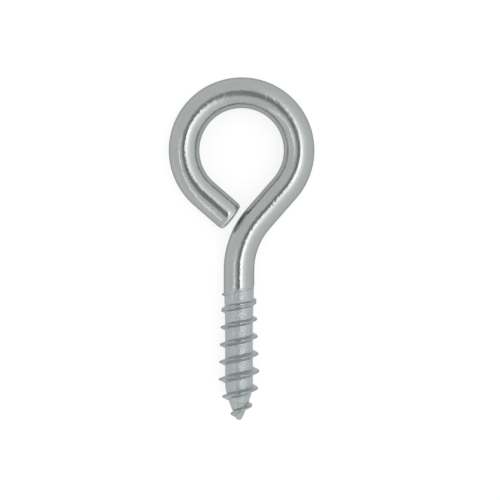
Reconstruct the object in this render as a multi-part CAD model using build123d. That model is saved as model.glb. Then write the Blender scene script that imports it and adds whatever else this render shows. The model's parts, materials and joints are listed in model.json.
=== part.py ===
from build123d import *
from math import ceil, cos, radians, sin, sqrt, tan
import os

# A screw eye bent from one length of steel wire, lying flat. Millimetres and degrees.
# The shank runs along Y with the tip at -Y, the eye lies in the XY plane, and Z is square to
# the eye. The origin is on the shank's axis, where the rolled thread begins.

# Wire and eye
wire_diameter = 4.5
plain_shank = 2.9  # straight and unthreaded, up to the neck's bend
neck_bend_radius = 11.3  # of the wire's centre line
neck_angle = 41.1  # between the shank and the neck
eye_inside_diameter = 12.3
eye_wrap = 270.0  # how far the wire winds round the eye
eye_offset = 0.38  # the eye's centre stands this far to the right of the shank's axis

# Cropped end of the wire, which stops short of the neck
end_length = 5.6  # straight stretch after the eye
end_tilt = 3.6
end_dome_radius = 10.7
end_bevel = 0.45

# Thread: a ridge rolled up round a core that is a little thinner than the wire
thread_length = 19.0
thread_pitch = 2.53
thread_first_diameter = 5.0  # over the crest of the first turn
thread_widest_diameter = 6.0
thread_point_length = 6.7  # over which the crests close in on the tip
thread_tip_diameter = 1.2  # over the crests, were the ridge to run to the tip
flank_angle = 50.0  # between the ridge's two flanks
crest_land = 0.2  # flat along the crest
core_diameter = 4.05
core_top_diameter = 4.35
core_shoulder = 0.2  # length of the step from the wire down to the core's top
core_taper_length = 5.0  # from the shank to where the core has its own diameter
core_point_length = 5.35
core_point_cones = 3  # the point's side is an arc in this many straight stretches
tip_diameter = 0.6
ridge_start_angle = 114.0  # from +X towards +Z
ridge_run_in = 70.0  # turn in which the ridge rises to its height
ridge_run_out = 35.0  # turn in which it sinks again
ridge_end_gap = 0.42  # from the ridge's end to the tip
ridge_footing = 0.15  # how deep the ridge's foot is sunk in the core
ridge_step = 22.0  # turn from one section of the ridge to the next

wire_radius = wire_diameter / 2
eye_radius = eye_inside_diameter / 2 + wire_radius  # of the wire's centre line
core_point_start = core_point_length - thread_length
thread_point_start = thread_point_length - thread_length
ridge_turn = 360 * (thread_length - ridge_end_gap) / thread_pitch  # from end to end


def between(y, start, start_size, end, end_size):
    """The size at y of something that changes evenly from start to end."""
    return start_size + (end_size - start_size) * (y - start) / (end - start)


def ogive(y, start, start_radius, end_radius):
    """Radius of a point at y, where its side is one arc that leaves start straight for the tip."""
    length = start + thread_length
    drop = start_radius - end_radius
    arc_radius = (length**2 + drop**2) / (2 * drop)
    return start_radius - arc_radius + sqrt(arc_radius**2 - (start - y) ** 2)


def core_radius(y):
    if y < core_point_start:
        return ogive(y, core_point_start, core_diameter / 2, tip_diameter / 2)
    if y < -core_taper_length:
        return core_diameter / 2
    return between(y, 0, core_top_diameter, -core_taper_length, core_diameter) / 2


def crest_radius(y):
    """The crests widen turn by turn, then close in on the tip."""
    if y < thread_point_start:
        return ogive(y, thread_point_start, thread_widest_diameter / 2, thread_tip_diameter / 2)
    return between(y, 0, thread_first_diameter, thread_point_start, thread_widest_diameter) / 2


def bent_wire():
    """The shank, the neck and the eye, and where and which way the wire leaves the eye."""
    slope = radians(neck_angle)
    # The neck is as long as it takes to bring the eye back over the shank.
    both_radii = neck_bend_radius + eye_radius
    neck_length = (eye_offset - neck_bend_radius + both_radii * cos(slope)) / sin(slope)

    shank = Line((0, 0), (0, plain_shank))
    neck_bend = JernArc(shank @ 1, shank % 1, neck_bend_radius, -neck_angle)
    neck = Line(neck_bend @ 1, neck_bend @ 1 + neck_bend % 1 * neck_length)
    eye = JernArc(neck @ 1, neck % 1, eye_radius, eye_wrap)
    section = Plane(shank @ 0, x_dir=(-1, 0, 0), z_dir=shank % 0) * Circle(wire_radius)
    return sweep(section, shank + neck_bend + neck + eye), eye @ 1, eye % 1


def cropped_end(start, direction):
    """The last straight stretch: its end face is sheared off, slightly domed, with a bevelled rim."""
    blank = extrude(Plane(start, z_dir=direction) * Circle(wire_radius), end_length + wire_radius)
    face_direction = direction.rotate(Axis.Z, end_tilt)
    dome_centre = start + direction * end_length - face_direction * end_dome_radius
    end = blank & Pos(dome_centre) * Sphere(end_dome_radius)
    return chamfer(end.faces().filter_by(GeomType.SPHERE).edges(), end_bevel)


def thread_core():
    """The core under the thread, with its step, its slight taper and its point, turned as one."""
    levels = [-core_shoulder, -core_taper_length]
    for i in range(core_point_cones + 1):
        levels.append(core_point_start - core_point_length * i / core_point_cones)
    side = [(core_radius(y), y) for y in levels]
    profile = Polyline((0, -thread_length), (0, 0), (wire_radius, 0), *side, close=True)
    return revolve(make_face(profile), Axis.Y)


def ridge_section(turned):
    """The ridge cut through along the axis, where it has wound this far: a blunt tooth."""
    y = -thread_pitch * turned / 360
    rise = min(1, turned / ridge_run_in, (ridge_turn - turned) / ridge_run_out)
    foot = core_radius(y) - ridge_footing
    lowest_crest = foot + ridge_footing / 2
    crest = lowest_crest + rise * (crest_radius(y) - lowest_crest)
    half_land = crest_land / 2
    half_foot = half_land + (crest - foot) * tan(radians(flank_angle / 2))
    corners = [
        (core_radius(y + half_foot) - ridge_footing, y + half_foot),
        (crest, y + half_land),
        (crest, y - half_land),
        (core_radius(y - half_foot) - ridge_footing, y - half_foot),
    ]
    return Rot(0, -ridge_start_angle - turned, 0) * make_face(Polyline(*corners, close=True))


def thread_ridge():
    count = ceil(ridge_turn / ridge_step)
    return loft([ridge_section(ridge_turn * i / count) for i in range(count + 1)], ruled=True)


wire, wire_end, wire_direction = bent_wire()
screw_eye = wire + cropped_end(wire_end, wire_direction) + thread_core() + thread_ridge()

os.makedirs("parts", exist_ok=True)
export_step(screw_eye, "parts/screw_eye.step")
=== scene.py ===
import bpy
import json
from math import atan2, ceil, cos, degrees, exp, pi, radians, sin, sqrt, tan
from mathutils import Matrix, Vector, noise


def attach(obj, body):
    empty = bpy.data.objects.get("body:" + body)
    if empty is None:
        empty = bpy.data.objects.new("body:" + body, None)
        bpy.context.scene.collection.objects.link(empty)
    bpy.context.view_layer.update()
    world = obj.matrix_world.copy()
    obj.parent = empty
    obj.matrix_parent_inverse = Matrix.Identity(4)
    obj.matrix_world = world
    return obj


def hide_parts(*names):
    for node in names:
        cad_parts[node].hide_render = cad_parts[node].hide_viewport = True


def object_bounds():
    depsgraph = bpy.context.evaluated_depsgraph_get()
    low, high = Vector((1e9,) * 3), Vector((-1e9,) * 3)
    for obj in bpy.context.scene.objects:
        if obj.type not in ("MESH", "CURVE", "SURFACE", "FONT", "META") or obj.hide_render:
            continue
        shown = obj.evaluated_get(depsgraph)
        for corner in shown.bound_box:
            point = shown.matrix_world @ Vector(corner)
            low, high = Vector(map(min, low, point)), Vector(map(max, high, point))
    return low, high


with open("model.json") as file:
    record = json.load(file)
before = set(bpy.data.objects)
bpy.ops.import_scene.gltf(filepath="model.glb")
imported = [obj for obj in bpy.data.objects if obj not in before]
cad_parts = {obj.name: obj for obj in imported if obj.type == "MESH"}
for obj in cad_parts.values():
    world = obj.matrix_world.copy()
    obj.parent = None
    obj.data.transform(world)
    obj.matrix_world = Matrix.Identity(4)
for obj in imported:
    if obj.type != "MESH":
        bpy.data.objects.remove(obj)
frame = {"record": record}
cad_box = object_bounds()

# The screw eye lies flat: the shank along Y with the tip at -Y, the eye in the XY plane.
# Sizes are in metres, and mm turns a size in millimetres into metres.
mm = 0.001
mounts = {mount["name"]: mount for mount in frame["record"]["mounts"]}
thread_mount, eye_mount = mounts["wood_thread"], mounts["eye"]

# Wire and eye
solid_wire_radius = eye_mount["dims"]["length_mm"] * mm / 2
wire_radius = solid_wire_radius - 0.01 * mm  # just inside the solid
eye_radius = eye_mount["dims"]["r_mm"] * mm + solid_wire_radius  # of the wire's centre line
eye_centre = Vector(eye_mount["pos_m"])
plain_shank = 2.9 * mm
neck_bend_radius = 11.3 * mm
neck_angle = radians(41.1)
eye_wrap = radians(270)
end_length = 5.6 * mm
end_tilt = radians(3.6)
end_roll_length = 0.85 * mm  # the shears roll the rim over before they cut
end_roll_depth = 0.42 * mm
end_dome_height = 0.15 * mm
end_face_share = 0.04  # the dome's flat middle, as a share of the rim

# Thread
thread_length = thread_mount["dims"]["length_mm"] * mm
thread_widest_radius = thread_mount["dims"]["r_mm"] * mm
thread_reach = thread_widest_radius * 1.1  # clear of the crests
thread_first_radius = 2.5 * mm
thread_pitch = 2.53 * mm
thread_point_start = -12.3 * mm
core_radius_plain = 2.025 * mm
core_radius_top = 2.175 * mm
core_taper_end = -5.0 * mm
core_point_start = -13.65 * mm
tip_radius = 0.3 * mm
point_straightness = 0.4  # none for a side that is an arc, one for a plain cone
point_settling = 0.5  # share of the point's length in which its side turns straighter
nose_height = 0.12 * mm
thread_tip_radius = 0.6 * mm  # of the crests, were the ridge to run to the tip
half_flank = radians(25)
half_land = 0.1 * mm
ridge_start_angle = 114.0  # degrees, as are all turns along the ridge
ridge_run_in = 70.0
ridge_run_out = 35.0
ridge_droop = 0.25 * mm  # the ridge starts this much lower than it winds
droop_ends = 40, 170  # turns from the ridge's start between which it comes up to its line
ridge_end_gap = 0.42 * mm
shoulder_height = -0.23 * mm  # where the wire steps down to the rolled core, on the axis
shoulder_slant = 0.25  # the step climbs with the thread's first turn
shoulder_round = 0.6 * mm
shoulder_drop = 0.1 * mm
shoulder_step = -0.12 * mm, 0.02 * mm  # from the core's level up to the wire's
root_fillet = 0.1 * mm
crest_rounding = 0.015 * mm
seam_depth = 0.1 * mm  # the first turns' crest is split along its middle
seam_width = 0.1 * mm
split_land = 0.16 * mm  # and this much wider to each side
split_starts = 100, 200  # turns from the ridge's start between which the split opens
split_ends = 330, 560  # and between which it closes again

# Unevenness that rolling leaves along the ridge
ridge_wander = 0.05 * mm
crest_level = 0.99  # the crest's mean size, as a share of the full one
wave_turn, wave_height = 25.0, 0.012
nick_turn, nick_height = 9.0, 0.008
turn_to_turn = 300.0  # how fast the unevenness changes from one turn to the next
nick_seed = 4

# Marks that the finish follows: painted shade lines in the creases along the ridges' feet, the
# crest seam and the shoulder step, worn crests and raised ridges
foot_rise = 0.16 * mm  # a ridge's edge lines run this far up its flanks
crease_width = 0.07 * mm
seam_crease = 0.8
shoulder_crease = 1.5
shoulder_crease_height = -0.06 * mm
shoulder_crease_width = 0.11 * mm
crease_run_in = 0.4  # share of the ridge's rise in which its creases appear
worn_edge = 0.12 * mm
raised_edge = 0.3 * mm

# Fineness of the meshes
wire_sides = 72  # also the thread's steps in a turn
bend_step = radians(3)
thread_rows = 40  # a pitch
thread_top = 1.15 * mm  # above it the wire is drawn on
shank_steps, neck_steps, end_steps = 6, 12, 8
roll_steps, dome_steps = 8, 6
nose_steps = 4
nose_flat = 0.3  # share of a step that stays flat at the nose's middle
hair = 0.001 * mm  # points closer than this are one point
smooth_angle = radians(50)  # sharper edges than this stay crisp


# ---- Modelling helpers ----


def start_mesh_work():
    if bpy.context.object and bpy.context.object.mode != "OBJECT":
        bpy.ops.object.mode_set(mode="OBJECT")
    bpy.ops.object.select_all(action="DESELECT")


def edit(piece):
    bpy.context.view_layer.objects.active = piece
    bpy.ops.object.mode_set(mode="EDIT")


def leave_edit():
    bpy.ops.object.mode_set(mode="OBJECT")


def select_vertices(piece, wanted):
    """Selects the piece's vertices whose places are wanted, and leaves edit mode on."""
    edit(piece)
    bpy.ops.mesh.select_mode(type="VERT")
    bpy.ops.mesh.select_all(action="DESELECT")
    leave_edit()
    for vertex in piece.data.vertices:
        vertex.select = wanted(vertex.co)
    edit(piece)


def extrude_ring(move, steps=1):
    """Draws the selected ring out along move, in a few equal steps."""
    for _ in range(steps):
        bpy.ops.mesh.extrude_edges_move(TRANSFORM_OT_translate={"value": move / steps})


# ---- The wire's way: shank, neck bend, neck, eye, end ----


class Straight:
    def __init__(self, start, heading, length, before):
        self.start, self.heading = start, heading
        self.length, self.before = length, before
        self.along = Vector((cos(heading), sin(heading), 0))
        self.right = Vector((sin(heading), -cos(heading), 0))
        self.end = start + self.along * length
        self.end_heading = heading

    def unbent(self, point):
        """How far along this stretch a point is, and how far to the right of its centre line."""
        offset = point - self.start
        return offset.dot(self.along), offset.dot(self.right)


class Bend:
    def __init__(self, start, heading, radius, turn, before):
        """A bend to the left for a positive turn, and to the right for a negative one."""
        self.start, self.radius, self.turn, self.before = start, radius, turn, before
        self.side = 1 if turn > 0 else -1
        left = Vector((-sin(heading), cos(heading), 0))
        self.centre = start + left * radius * self.side
        self.length = radius * abs(turn)
        self.end_heading = heading + turn
        right = Vector((sin(self.end_heading), -cos(self.end_heading), 0))
        self.end = self.centre + right * radius * self.side

    def unbent(self, point):
        offset = point - self.centre
        first = self.start - self.centre
        turned = self.side * atan2(first.x * offset.y - first.y * offset.x,
                                   first.x * offset.x + first.y * offset.y)
        if turned < -pi / 4:  # past half a turn, and not before the start
            turned += 2 * pi
        distance = sqrt(offset.x**2 + offset.y**2)
        return turned * self.radius, (distance - self.radius) * self.side


def plan_wire():
    """The stretches of the wire from the thread to the cropped end."""
    both_radii = neck_bend_radius + eye_radius
    neck_length = (eye_centre.x - neck_bend_radius + both_radii * cos(neck_angle)) / sin(neck_angle)
    shank = Straight(Vector((0, 0, 0)), pi / 2, plain_shank, 0)
    neck_bend = Bend(shank.end, pi / 2, neck_bend_radius, -neck_angle, shank.length)
    neck = Straight(neck_bend.end, neck_bend.end_heading, neck_length,
                    neck_bend.before + neck_bend.length)
    eye = Bend(neck.end, neck.heading, eye_radius, eye_wrap, neck.before + neck.length)
    end = Straight(eye.end, eye.end_heading, end_length, eye.before + eye.length)
    return shank, neck_bend, neck, eye, end


shank, neck_bend, neck, eye, end = plan_wire()
wire_stretches = [shank, neck_bend, neck, eye, end]


def straightened(point):
    """Where a point of the piece was before the wire was bent: Y runs along the wire."""
    if abs(point.x) < thread_reach and point.y <= shank.length:
        return point.copy()
    best = None
    for stretch in wire_stretches:
        along, right = stretch.unbent(Vector((point.x, point.y, 0)))
        beyond = max(0, -along, along - stretch.length)
        miss = max(0, abs(right) - wire_radius) + beyond
        if best is None or miss < best[0]:
            best = (miss, Vector((right, stretch.before + along, point.z)))
    return best[1]


# ---- The bent wire ----


def bend_ring(stretch):
    """Bends the wire on from the selected ring."""
    steps = ceil(abs(stretch.turn) / bend_step)
    axis = (0, 0, -1) if stretch.turn > 0 else (0, 0, 1)
    bpy.ops.mesh.spin(steps=steps, angle=abs(stretch.turn), center=stretch.centre, axis=axis)


def shape_cropped_end():
    """Rolls the last ring's rim over, then closes the face with a shallow dome."""
    roll_start = end_length - end_dome_height - end_roll_length
    place, size, lean = 0.0, 1.0, 0.0
    for i in range(1, roll_steps + 1):
        angle = pi / 2 * i / roll_steps
        new_place = end_roll_length * sin(angle)
        new_size = 1 - end_roll_depth / wire_radius * (1 - cos(angle))
        new_lean = end_tilt * i / roll_steps
        centre = end.start + end.along * (roll_start + new_place)
        extrude_ring(end.along * (new_place - place))
        bpy.ops.transform.resize(value=(new_size / size,) * 3, center_override=centre)
        bpy.ops.transform.rotate(value=lean - new_lean, orient_axis="Z", center_override=centre)
        place, size, lean = new_place, new_size, new_lean
    rim_size = size
    for i in range(1, dome_steps + 1):
        new_size = rim_size * max(1 - i / dome_steps, end_face_share)
        new_place = end_roll_length + end_dome_height * (1 - (new_size / rim_size) ** 2)
        centre = end.start + end.along * (roll_start + new_place)
        extrude_ring(end.along * (new_place - place))
        bpy.ops.transform.resize(value=(new_size / size,) * 3, center_override=centre)
        place, size = new_place, new_size
    bpy.ops.mesh.edge_face_add()


def draw_bent_wire(piece):
    """The thread's top ring is drawn up the shank, bent round the neck and the eye, and cropped."""
    select_vertices(piece, lambda place: place.y > thread_top - hair)
    extrude_ring(Vector((0, shank.length - thread_top, 0)), shank_steps)
    bend_ring(neck_bend)
    extrude_ring(neck.along * neck.length, neck_steps)
    bend_ring(eye)
    extrude_ring(end.along * (end_length - end_dome_height - end_roll_length), end_steps)
    shape_cropped_end()
    leave_edit()


# ---- The rolled thread ----


def arc_point_radius(height, start, start_radius, end_radius):
    """Radius of a point whose side is one arc, leaving start straight and ending at the tip."""
    length = start + thread_length
    drop = start_radius - end_radius
    arc = (length**2 + drop**2) / (2 * drop)
    return start_radius - arc + sqrt(max(arc**2 - (start - height) ** 2, 0))


def core_radius(height):
    if height < core_point_start:
        share = (core_point_start - height) / (core_point_start + thread_length)
        arc = arc_point_radius(height, core_point_start, core_radius_plain, tip_radius)
        straight = core_radius_plain + (tip_radius - core_radius_plain) * share
        return arc + (straight - arc) * point_straightness * smooth_step(0, point_settling, share)
    share = min(height / core_taper_end, 1)
    return core_radius_top + (core_radius_plain - core_radius_top) * share


def crest_radius(height):
    if height < thread_point_start:
        return arc_point_radius(height, thread_point_start, thread_widest_radius, thread_tip_radius)
    growth = thread_widest_radius - thread_first_radius
    return thread_first_radius + growth * height / thread_point_start


def smooth_step(start, stop, value):
    share = min(max((value - start) / (stop - start), 0), 1)
    return share * share * (3 - 2 * share)


def smooth_larger(a, b, blend):
    """The larger of two radii, with a fillet where they meet."""
    gap = max(blend - abs(a - b), 0) / blend
    return max(a, b) + gap * gap * blend / 4


def shoulder_radius(height, across):
    """The end of the plain wire: it rounds over, then steps down to the core."""
    above = height - (shoulder_height + shoulder_slant * across)
    rounding = shoulder_drop * (1 - smooth_step(0, shoulder_round, above)) ** 2
    return wire_radius - rounding, above


last_turn = 360 * (thread_length - ridge_end_gap) / thread_pitch


def mark(offset, width):
    """One on a line, and none a little way beside it."""
    return exp(-((offset / width) ** 2))


def ridge_surface(height, core, turned):
    """The ridge's part of rolled_surface, at a turn from the ridge's start."""
    rise = min(1, turned / ridge_run_in, (last_turn - turned) / ridge_run_out)
    if rise <= 0:
        return core, 0, 0, 0
    line = -thread_pitch * turned / 360 - ridge_droop * (1 - smooth_step(*droop_ends, turned))
    wave = noise.noise(Vector((turned / wave_turn, line * turn_to_turn, 0)))
    nick = noise.noise(Vector((turned / nick_turn, line * turn_to_turn, nick_seed)))
    beside = height - line - ridge_wander * wave
    size = crest_radius(line) * (crest_level + wave_height * wave + nick_height * nick)
    crest = core + rise * (size - core)

    split = smooth_step(*split_starts, turned) * (1 - smooth_step(*split_ends, turned))
    seam = mark(beside, seam_width) * split
    land = half_land + split_land * split
    slope = max(abs(beside) - land, 0) / tan(half_flank)
    edge = crest_rounding * min(abs(beside) / land, 1) ** 4
    radius = smooth_larger(core, crest - slope - edge, root_fillet) - seam_depth * seam

    # Painted shade: dark lines along the ridge's feet and in the split crest's seam.
    full = smooth_step(0, crease_run_in, rise)
    foot = land + max(crest - core - foot_rise, 0) * tan(half_flank)
    crease_shade = max(mark(abs(beside) - foot, crease_width) * full, seam_crease * seam)
    worn = (1 - smooth_step(land, land + worn_edge, abs(beside))) * (full - seam)
    return radius, crease_shade, worn, smooth_step(0, raised_edge, radius - core)


def rolled_surface(height, around):
    """The thread's surface at a height and round angle, both as for a point of the piece.

    Returns its distance from the axis, how dark the painted shade in the creases makes it, how worn
    as a crest, and whether it is raised from the core."""
    angle = around - ridge_start_angle
    turned = angle + 360 * round((-height * 360 / thread_pitch - angle) / 360)
    radius, crease_shade, worn, raised = ridge_surface(height, core_radius(height), turned)
    shoulder, above = shoulder_radius(height, core_radius_top * cos(radians(around)))
    step = smooth_step(*shoulder_step, above)
    # Painted shade: a dark line where the wire steps down to the core.
    shoulder_mark = mark(above - shoulder_crease_height, shoulder_crease_width)
    crease_shade = max(crease_shade * (1 - step), shoulder_crease * shoulder_mark)
    radius += max(shoulder - radius, 0) * step
    return radius, crease_shade, worn * (1 - step), raised * (1 - step)


def roll_thread(thread):
    """Moves every vertex in or out to the rolled surface, and keeps its marks for the finish:
    painted shade in the creases, worn crests and raised ridges.

    What is above the thread or below its nose is folded onto a level ring."""
    marks = [thread.data.attributes.new(name, "FLOAT", "POINT")
             for name in ("crease_shade", "worn_crest", "raised")]
    for vertex in thread.data.vertices:
        around = atan2(vertex.co.z, vertex.co.x)
        height = min(max(vertex.co.y, nose_height - thread_length), thread_top)
        radius, *values = rolled_surface(height, degrees(around))
        # The crests rest on the floor that the solid rests on.
        vertex.co = (radius * cos(around), height, max(radius * sin(around), cad_box[0].z))
        for attribute, value in zip(marks, values):
            attribute.data[vertex.index].value = value


def make_thread():
    """A straight line one pitch long is wound round the axis as a screw, then rolled to shape."""
    start_mesh_work()
    bpy.ops.mesh.primitive_plane_add(size=thread_pitch)
    thread = bpy.context.object
    select_vertices(thread, lambda place: place.x > 0)
    bpy.ops.mesh.delete(type="VERT")
    bpy.ops.mesh.select_all(action="SELECT")
    bpy.ops.mesh.subdivide(number_cuts=thread_rows - 1)
    leave_edit()
    for vertex in thread.data.vertices:
        vertex.co = (wire_radius, vertex.co.y, 0)
    turns_above = ceil(thread_top / thread_pitch) + 1
    turns = turns_above + ceil(thread_length / thread_pitch) + 1
    thread.location.y = turns_above * thread_pitch
    bpy.ops.object.transform_apply(location=True, rotation=True, scale=True)
    bpy.ops.object.modifier_add(type="SCREW")
    screw = thread.modifiers[-1]
    screw.axis = "Y"
    screw.angle = -2 * pi
    screw.screw_offset = -thread_pitch
    screw.iterations = turns
    screw.steps = screw.render_steps = wire_sides
    bpy.ops.object.modifier_apply(modifier=screw.name)
    thread.rotation_euler.y = -radians(ridge_start_angle)
    bpy.ops.object.transform_apply(location=True, rotation=True, scale=True)
    roll_thread(thread)
    edit(thread)
    bpy.ops.mesh.select_all(action="SELECT")
    bpy.ops.mesh.remove_doubles(threshold=hair)
    leave_edit()
    return thread


def close_nose(piece):
    """Closes the thread's lower end with a small rounded nose, which has a tiny flat face."""
    start = nose_height - thread_length
    select_vertices(piece, lambda place: place.y < start + hair)
    height, size = 0.0, 1.0
    for i in range(1, nose_steps + 1):
        angle = pi / 2 * i / (nose_steps + nose_flat)
        new_height, new_size = nose_height * sin(angle), cos(angle)
        narrowing = new_size / size
        extrude_ring(Vector((0, height - new_height, 0)))
        bpy.ops.transform.resize(value=(narrowing, 1, narrowing), center_override=(0, start, 0))
        height, size = new_height, new_size
    bpy.ops.mesh.edge_face_add()
    leave_edit()


def keep_straight_places(piece):
    """Stores where each point was on the straight wire, for finishes that follow the wire."""
    attribute = piece.data.attributes.new("straight_wire", "FLOAT_VECTOR", "POINT")
    for vertex, stored in zip(piece.data.vertices, attribute.data):
        stored.vector = straightened(vertex.co)


def make_screw_eye():
    piece = make_thread()
    piece.name = "screw_eye_wire"
    draw_bent_wire(piece)
    close_nose(piece)
    edit(piece)
    bpy.ops.mesh.select_all(action="SELECT")
    bpy.ops.mesh.normals_make_consistent(inside=False)
    leave_edit()
    keep_straight_places(piece)
    start_mesh_work()
    piece.select_set(True)
    bpy.context.view_layer.objects.active = piece
    bpy.ops.object.shade_smooth_by_angle(angle=smooth_angle)
    return piece


# ---- Finishes ----

wire_dark = (0.42, 0.445, 0.442, 1)
wire_light = (0.495, 0.525, 0.52, 1)
skin_dark = (0.315, 0.365, 0.37, 1)
skin_light = (0.395, 0.445, 0.448, 1)
ridge_colour = (0.40, 0.43, 0.43, 1)
# Painted shade in the creases, and real dirt on the nose
shade_and_dirt_colour = (0.15, 0.16, 0.16, 1)
# Painted light: the cut end is lighter
cut_end_painted_light = (0.8, 0.82, 0.815, 1)
edge_tint = (0.55, 0.57, 0.58, 1)

# Noises on the straight wire: how many spots to a millimetre across, along and through it,
# then their detail and its roughness
streak_noise = (4.0, 0.15, 4.0), 4.0, 0.6
cloud_noise = (0.6, 0.35, 0.6), 3.0, 0.55
grain_noise = (2.6, 2.0, 2.6), 3.0, 0.6
dent_noise = (1.4, 2.2, 1.4), 3.0, 0.6
spot_noise = (1.2, 2.6, 1.2), 2.0, 0.5
patch_noise = (0.9, 0.3, 0.9), 2.0, 0.5

# Where each finish lies
face_start = end.before + end_length - end_dome_height
eye_top = eye.before + eye_radius * (pi / 2 + neck_angle)
rub_fade = 11 * mm, 4 * mm  # from the eye's top along the wire
scuff_levels = 0.5, 0.62
scuff_share = 0.5
cropped_fade = face_start - 0.5 * mm, face_start
rolled_fade = shoulder_height + 0.35 * mm, shoulder_height - 0.05 * mm
nose_fade = -17.3 * mm, -18.3 * mm
nose_dirt_levels = 0.45, 0.6
# How strongly painted shade in the creases and the nose's real dirt darken the colour
dirt_and_shade_share = 0.4
bright_spot_levels = 0.42, 0.58

# How it shines. A coat stands for the bright outer skin of the rolled core.
coat_ior = 2.5
coat_roughness = 0.14
wire_roughness = 0.07, 0.14  # between and on the streaks
scuffed_roughness = 0.13
sheared_roughness = 0.25
skin_roughness = 0.44, 0.3  # between and on the bright spots
flank_roughness = 0.5
crest_roughness = 0.12
metal_all, metal_flank = 1.0, 0.35

# Bumps
streak_strength, streak_height = 0.8, 0.02 * mm
grain_strength, grain_height = (0.45, 0.8), 0.05 * mm  # on the bare wire and in a scuff
dent_height = 0.2 * mm

# White paper
paper_grey = (0.36, 0.36, 0.36, 1)
paper_roughness = 0.9
lift_in_metal, lift_in_view = 0.54, 0.75
white = (1, 1, 1, 1)


class Wiring:
    """A node tree being built. A value is a number, a colour or another node's result."""

    def __init__(self, tree):
        self.nodes, self.links = tree.nodes, tree.links

    def feed(self, socket, value):
        if isinstance(value, (int, float, tuple)):
            socket.default_value = value
        else:
            self.links.new(value, socket)

    def add(self, kind, settings=None, **inputs):
        """Adds a node, sets its own settings, and feeds its inputs by name."""
        made = self.nodes.new(kind)
        for name, value in (settings or {}).items():
            setattr(made, name, value)
        for name, value in inputs.items():
            self.feed(made.inputs[name.replace("_", " ")], value)
        return made

    def math(self, operation, *values, clamp=False):
        made = self.add("ShaderNodeMath", {"operation": operation, "use_clamp": clamp})
        for socket, value in zip(made.inputs, values):
            self.feed(socket, value)
        return made.outputs[0]

    def mix(self, share, first, second):
        """The first number where share is none, the second where it is full."""
        made = self.add("ShaderNodeMix", {"data_type": "FLOAT"})
        for socket, value in zip((0, 2, 3), (share, first, second)):
            self.feed(made.inputs[socket], value)
        return made.outputs[0]

    def mix_colours(self, share, first, second):
        made = self.add("ShaderNodeMix", {"data_type": "RGBA"})
        for socket, value in zip((0, 6, 7), (share, first, second)):
            self.feed(made.inputs[socket], value)
        return made.outputs[2]

    def ramp(self, value, low, high):
        """Nothing at low, full at high, smooth between them."""
        made = self.add("ShaderNodeMapRange", {"interpolation_type": "SMOOTHSTEP"},
                        Value=value, From_Min=low, From_Max=high)
        return made.outputs["Result"]

    def parts(self, vector):
        return self.add("ShaderNodeSeparateXYZ", Vector=vector).outputs

    def attribute(self, name, output="Fac"):
        return self.add("ShaderNodeAttribute", {"attribute_name": name}).outputs[output]

    def noise_on_wire(self, spots, detail, roughness):
        """Noise that follows the wire as it was before it was bent."""
        place = self.attribute("straight_wire", "Vector")
        scaled = self.add("ShaderNodeMapping", Vector=place, Scale=tuple(n / mm for n in spots))
        made = self.add("ShaderNodeTexNoise", Vector=scaled.outputs["Vector"], Scale=1.0,
                        Detail=detail, Roughness=roughness)
        return made.outputs["Fac"]

    def bump(self, height, strength, distance, under=None):
        made = self.add("ShaderNodeBump", Height=height, Strength=strength, Distance=distance)
        if under is not None:
            self.feed(made.inputs["Normal"], under)
        return made.outputs["Normal"]


def new_material(name):
    material = bpy.data.materials.new(name)
    material.use_nodes = True
    wiring = Wiring(material.node_tree)
    return material, wiring, wiring.nodes["Principled BSDF"].inputs


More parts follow.
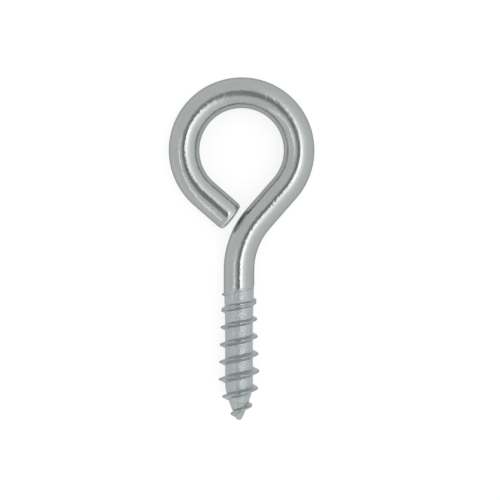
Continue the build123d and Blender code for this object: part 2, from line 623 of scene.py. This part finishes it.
def zinc_plate(name):
    """Bright zinc plate: drawn streaks on the wire, a duller dented skin on the rolled thread."""
    material, wiring, shader = new_material(name)
    math, mix, mix_colours, ramp = wiring.math, wiring.mix, wiring.mix_colours, wiring.ramp
    streaks, clouds, grain, dents, spots, patches = (
        wiring.noise_on_wire(*kind)
        for kind in (streak_noise, cloud_noise, grain_noise, dent_noise, spot_noise, patch_noise))
    right, along, _ = wiring.parts(wiring.attribute("straight_wire", "Vector"))

    # The bending tool rubs the wire opposite the shank.
    rubbed = ramp(math("ABSOLUTE", math("SUBTRACT", along, eye_top)), *rub_fade)
    scuffs = math("MULTIPLY", ramp(patches, *scuff_levels), scuff_share)
    scuffs = math("MAXIMUM", rubbed, scuffs)

    # The shears leave the end a little dull; its lighter colour is painted light that lifts the
    # dark reflections there.
    cropped = ramp(along, *cropped_fade)

    # The rolled thread starts below the slanting shoulder.
    rolled = ramp(math("ADD", along, math("MULTIPLY", right, -shoulder_slant)), *rolled_fade)
    crease_shade, crest, raised = (wiring.attribute(name) for name in ("crease_shade", "worn_crest", "raised"))
    skin = math("SUBTRACT", rolled, crest, clamp=True)
    flank = math("SUBTRACT", raised, crest, clamp=True)

    wire_tone = mix_colours(clouds, wire_dark, wire_light)
    # Painted light: the cut end gets a lighter colour.
    wire_tone = mix_colours(cropped, wire_tone, cut_end_painted_light)
    skin_tone = mix_colours(dents, skin_dark, skin_light)
    skin_tone = mix_colours(raised, skin_tone, ridge_colour)
    tone = mix_colours(rolled, wire_tone, skin_tone)
    # The nose's spots are real dirt; the darkening in the creases is painted shade.
    nose_dirt = math("MULTIPLY", ramp(along, *nose_fade), ramp(spots, *nose_dirt_levels))
    dirt_and_shade = math("MULTIPLY", math("MAXIMUM", crease_shade, nose_dirt), dirt_and_shade_share, clamp=True)
    wiring.feed(shader["Base Color"], mix_colours(dirt_and_shade, tone, shade_and_dirt_colour))

    wire_rough = mix(streaks, *wire_roughness)
    wire_rough = mix(scuffs, wire_rough, scuffed_roughness)
    wire_rough = mix(cropped, wire_rough, sheared_roughness)
    rolled_rough = mix(ramp(spots, *bright_spot_levels), *skin_roughness)
    rolled_rough = mix(flank, rolled_rough, flank_roughness)
    rolled_rough = mix(crest, rolled_rough, crest_roughness)
    wiring.feed(shader["Roughness"], mix(rolled, wire_rough, rolled_rough))
    wiring.feed(shader["Metallic"], mix(flank, metal_all, metal_flank))
    wiring.feed(shader["Specular Tint"], edge_tint)
    wiring.feed(shader["Coat Weight"], skin)
    wiring.feed(shader["Coat Roughness"], coat_roughness)
    wiring.feed(shader["Coat IOR"], coat_ior)

    normal = wiring.bump(streaks, streak_strength, streak_height)
    normal = wiring.bump(grain, mix(scuffs, *grain_strength), grain_height, normal)
    normal = wiring.bump(dents, skin, dent_height, normal)
    wiring.feed(shader["Normal"], normal)
    wiring.feed(shader["Coat Normal"], normal)
    return material


def floor_material():
    """White paper. What is seen of it, also in the metal, is lifted to white."""
    material, wiring, shader = new_material("white_paper")
    wiring.feed(shader["Base Color"], paper_grey)
    wiring.feed(shader["Roughness"], paper_roughness)
    wiring.feed(shader["Specular IOR Level"], 0.0)
    ray = wiring.add("ShaderNodeLightPath").outputs
    through = wiring.math("ADD", ray["Is Glossy Ray"], ray["Is Transmission Ray"], clamp=True)
    lift = wiring.math("MULTIPLY", through, lift_in_metal)
    wiring.feed(shader["Emission Color"], white)
    wiring.feed(shader["Emission Strength"], wiring.mix(ray["Is Camera Ray"], lift, lift_in_view))
    return material


# ---- Studio ----

floor_size = 1.2

# The tent's parts are placed by direction: east, north and up are one at full length.
tent_level = 0.83
opening_east, opening_half_width = -0.03, 0.29
opening_north, opening_half_length = -0.1, 0.39
opening_fade = 1.3, 0.45  # from the tent's white to darkest, one being at the half width
opening_darkness = 0.62
lamp_edge = radians(9)  # from straight above
lamp_glow, lamp_glow_fade = 1.35, radians(24)
lamp_core, lamp_core_fade = 2.0, radians(9)
lamp_east = 0.13, 0.24
lamp_headings = -90, 110  # degrees turned from east towards north
lamp_by_heading = (-80, 0.1), (-65, 0.85), (-50, 1.0), (8, 1.0), (32, 0.8), (60, 0.5)
lamp_at_first_heading, lamp_at_last_heading = 0, 0.05
cloth_seam_east = -0.6
cloth_seam_half_width, cloth_seam_spread = 0.025, 0.018
cloth_seam_south, cloth_seam_north = -0.75, 0.12
cloth_seam_glow = 2.2

view_width = 73.0 * mm
view_middle = Vector((1.23, -0.21, 0)) * mm  # from the middle of the box
camera_lens = 150


def make_floor(lowest):
    start_mesh_work()
    bpy.ops.mesh.primitive_plane_add(size=floor_size, location=(0, 0, lowest))
    floor = bpy.context.object
    floor.name = "floor"
    floor.data.materials.append(floor_material())


def lamp_strength(wiring, heading):
    """How bright the lamp is towards a heading, as a share."""
    first, last = lamp_headings
    share = wiring.add("ShaderNodeMapRange", Value=heading, From_Min=radians(first),
                       From_Max=radians(last))
    window = wiring.add("ShaderNodeFloatCurve", Value=share.outputs["Result"])
    curve = window.mapping.curves[0]
    for turned, strength in lamp_by_heading:
        curve.points.new((turned - first) / (last - first), strength)
    curve.points[0].location = (0, lamp_at_first_heading)
    curve.points[len(curve.points) - 1].location = (1, lamp_at_last_heading)
    window.mapping.update()
    return window.outputs["Value"]


def light_tent():
    """A white tent with a dark opening overhead, and a large lamp behind the cloth on the right."""
    world = bpy.data.worlds.new("light_tent")
    bpy.context.scene.world = world
    world.use_nodes = True
    wiring = Wiring(world.node_tree)
    math = wiring.math
    place = wiring.add("ShaderNodeTexCoord")
    east, north, up = wiring.parts(place.outputs["Generated"])
    overhead = math("GREATER_THAN", up, 0.0)

    # The opening
    across = math("DIVIDE", math("SUBTRACT", east, opening_east), opening_half_width)
    along = math("DIVIDE", math("SUBTRACT", north, opening_north), opening_half_length)
    square = math("ADD", math("MULTIPLY", across, across), math("MULTIPLY", along, along))
    dark = math("MULTIPLY", wiring.ramp(square, *opening_fade), overhead)

    # The lamp: brightest at the edge of the opening, and fading to the side
    past_edge = math("SUBTRACT", lamp_edge, math("ARCCOSINE", up))
    glow = math("EXPONENT", math("DIVIDE", past_edge, lamp_glow_fade))
    core = math("EXPONENT", math("DIVIDE", past_edge, lamp_core_fade))
    bright = math("ADD", math("MULTIPLY", glow, lamp_glow), math("MULTIPLY", core, lamp_core))
    by_heading = lamp_strength(wiring, math("ARCTAN2", north, east))
    lamp_share = math("MULTIPLY", wiring.ramp(east, *lamp_east), by_heading)
    lamp_share = math("MULTIPLY", lamp_share, overhead)
    lamp = math("MULTIPLY", bright, lamp_share)

    # A bright seam in the cloth on the left, narrower to the south
    half_width = math("MULTIPLY_ADD", north, cloth_seam_spread, cloth_seam_half_width)
    seam = math("COMPARE", east, cloth_seam_east, half_width)
    for limit in (math("GREATER_THAN", north, cloth_seam_south),
                  math("LESS_THAN", north, cloth_seam_north), overhead):
        seam = math("MULTIPLY", seam, limit)
    seam_light = math("MULTIPLY", seam, cloth_seam_glow)

    shade = math("MULTIPLY", dark, opening_darkness)
    shade = math("MULTIPLY", shade, math("SUBTRACT", 1.0, lamp_share, clamp=True))
    level = math("ADD", math("SUBTRACT", 1.0, shade), lamp)
    level = math("ADD", level, seam_light)
    background = wiring.nodes["Background"].inputs
    wiring.feed(background["Color"], level)
    wiring.feed(background["Strength"], tent_level)


def make_camera():
    """Straight above, with a long lens."""
    data = bpy.data.cameras.new("camera")
    camera = bpy.data.objects.new("camera", data)
    bpy.context.scene.collection.objects.link(camera)
    data.lens = camera_lens
    camera.location = (cad_box[0] + cad_box[1]) / 2 + view_middle
    camera.location.z = view_width * data.lens / data.sensor_width
    data.clip_start = 1 * mm
    bpy.context.scene.camera = camera


# ---- Everything together ----

screw_eye = make_screw_eye()
screw_eye.data.materials.clear()
screw_eye.data.materials.append(zinc_plate("bright_zinc_plate"))
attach(screw_eye, "root")
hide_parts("screw_eye")

make_floor(cad_box[0].z)
light_tent()
make_camera()
bpy.context.scene.view_settings.view_transform = "Standard"
